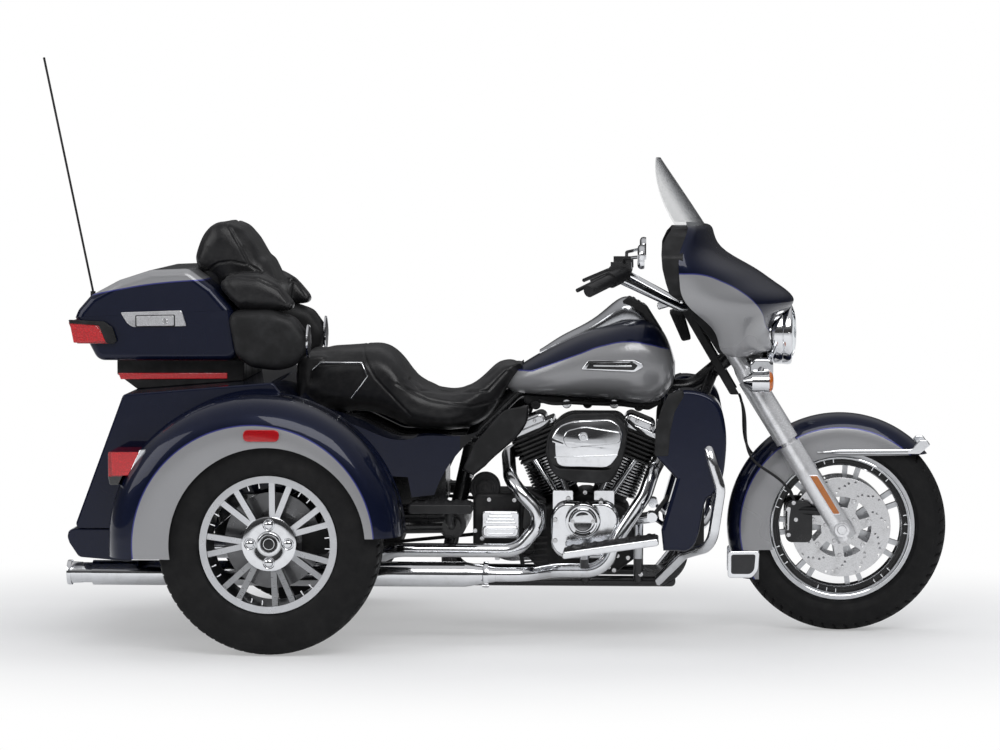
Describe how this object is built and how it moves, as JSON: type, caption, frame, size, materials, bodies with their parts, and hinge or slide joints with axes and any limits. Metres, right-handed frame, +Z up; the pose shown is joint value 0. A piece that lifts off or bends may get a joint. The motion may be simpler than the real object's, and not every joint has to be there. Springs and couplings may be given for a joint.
{
  "type": "motorized trike",
  "caption": "Touring trike: fork-mounted fairing, finned V engine, stepped seat, trunk body between fendered rear wheels and a luggage box with a backrest.",
  "frame": {"origin": "on the ground under the middle of the overall length and width, wheels resting on z = 0", "axes": "+X forward along the length, +Y to the rider's left, +Z up"},
  "size_m": [2.793, 1.3914, 1.745],
  "materials": {
    "frame_paint": "gloss black powder coat",
    "engine_case": "black wrinkle coat",
    "fins": "black coat, bright fin edges",
    "rocker_chrome": "polished chrome",
    "cover_chrome": "polished chrome",
    "primary_chrome": "polished chrome",
    "cleaner_chrome": "chrome with a black lower band",
    "horn_chrome": "polished chrome",
    "cooler": "black",
    "pipe_chrome": "chrome heat shields",
    "muffler_chrome": "polished chrome",
    "tank_paint": "two-tone blue and silver gloss",
    "console": "silver and chrome",
    "seat_cover": "black, stitched",
    "battery_cover": "black",
    "axle_paint": "black",
    "swingarm_paint": "black",
    "shock_body": "black",
    "belt": "black toothed belt",
    "body_paint": "dark blue gloss",
    "fender_paint": "two-tone blue and silver gloss",
    "panel_paint": "dark blue gloss, black deflectors",
    "bumper_paint": "dark blue gloss",
    "lamp_red": "red lens in chrome and black housings",
    "rack_black": "black",
    "box_paint": "dark blue gloss",
    "pod_black": "black with a mesh grille",
    "antenna_black": "black",
    "foot_chrome": "chrome with black rubber pads",
    "guard_chrome": "polished chrome",
    "lower_paint": "dark blue gloss with black rear faces",
    "fork_alloy": "bright sliders, chrome covers",
    "caliper_black": "black",
    "front_fender_paint": "two-tone blue and silver gloss",
    "light_bar_chrome": "chrome with amber lenses",
    "headlamp_glass": "chrome ring with a clear lens",
    "fairing_paint": "two-tone blue and silver gloss",
    "inner_black": "black with round gauges",
    "screen": "clear",
    "bar_chrome": "polished chrome",
    "controls_black": "black grips and switch housings, mirrors",
    "front_tyre_rubber": "black",
    "front_rim_alloy": "machined spokes with black sides",
    "disc_steel": "drilled steel",
    "tyre_left": "black",
    "rim_left": "machined spokes with black sides",
    "tyre_right": "black",
    "rim_right": "machined spokes with black sides",
    "lid_paint": "silver gloss over dark blue",
    "backrest_cover": "black, stitched",
    "door_paint": "dark blue gloss"
  },
  "bodies": {
    "chassis": {"frame": "frame_paint", "crankcase": "engine_case", "cylinders": "fins", "rocker_covers": "rocker_chrome", "engine_covers": "cover_chrome", "primary_cover": "primary_chrome", "air_cleaner": "cleaner_chrome", "horn": "horn_chrome", "oil_cooler": "cooler", "exhaust_pipes": "pipe_chrome", "mufflers": "muffler_chrome", "fuel_tank": "tank_paint", "tank_console": "console", "seat": "seat_cover", "battery_box": "battery_cover", "rear_axle": "axle_paint", "swingarm": "swingarm_paint", "shocks": "shock_body", "drive_belt": "belt", "trunk_body": "body_paint", "rear_fenders": "fender_paint", "side_panels": "panel_paint", "rear_bumper": "bumper_paint", "tail_lamps": "lamp_red", "box_rack": "rack_black", "luggage_box": "box_paint", "speaker_pods": "pod_black", "antenna": "antenna_black", "foot_controls": "foot_chrome", "engine_guard": "guard_chrome", "lower_fairings": "lower_paint"},
    "steering": {"fork": "fork_alloy", "front_calipers": "caliper_black", "front_fender": "front_fender_paint", "light_bar": "light_bar_chrome", "headlamp": "headlamp_glass", "fairing": "fairing_paint", "inner_fairing": "inner_black", "windshield": "screen", "handlebar": "bar_chrome", "hand_controls": "controls_black"},
    "front_wheel": {"front_tyre": "front_tyre_rubber", "front_rim": "front_rim_alloy", "front_discs": "disc_steel"},
    "rear_wheel_left": {"rear_tyre_left": "tyre_left", "rear_rim_left": "rim_left"},
    "rear_wheel_right": {"rear_tyre_right": "tyre_right", "rear_rim_right": "rim_right"},
    "luggage_lid": {"box_lid": "lid_paint", "backrest": "backrest_cover"},
    "tailgate": {"trunk_door": "door_paint"}
  },
  "joints": [
    {"name": "steering_head", "type": "hinge", "parent": "chassis", "child": "steering", "pos_m": [0.75217, 0, 0.87], "axis": [-0.4384, 0, 0.8988], "range_deg": [-28, 28]},
    {"name": "front_wheel_spin", "type": "hinge", "parent": "steering", "child": "front_wheel", "pos_m": [1.0765, 0, 0.32], "axis": [0, 1, 0], "continuous": true},
    {"name": "rear_wheel_left_spin", "type": "hinge", "parent": "chassis", "child": "rear_wheel_left", "pos_m": [-0.5935, 0.57, 0.323], "axis": [0, 1, 0], "continuous": true},
    {"name": "rear_wheel_right_spin", "type": "hinge", "parent": "chassis", "child": "rear_wheel_right", "pos_m": [-0.5935, -0.57, 0.323], "axis": [0, 1, 0], "continuous": true},
    {"name": "luggage_lid_hinge", "type": "hinge", "parent": "chassis", "child": "luggage_lid", "pos_m": [-0.9735, 0.314, 0.971], "axis": [-0.9989, 0, -0.0466], "range_deg": [0, 80]},
    {"name": "tailgate_hinge", "type": "hinge", "parent": "chassis", "child": "tailgate", "pos_m": [-1.18295, 0, 0.38606], "axis": [0, -1, 0], "range_deg": [0, 100]}
  ]
}
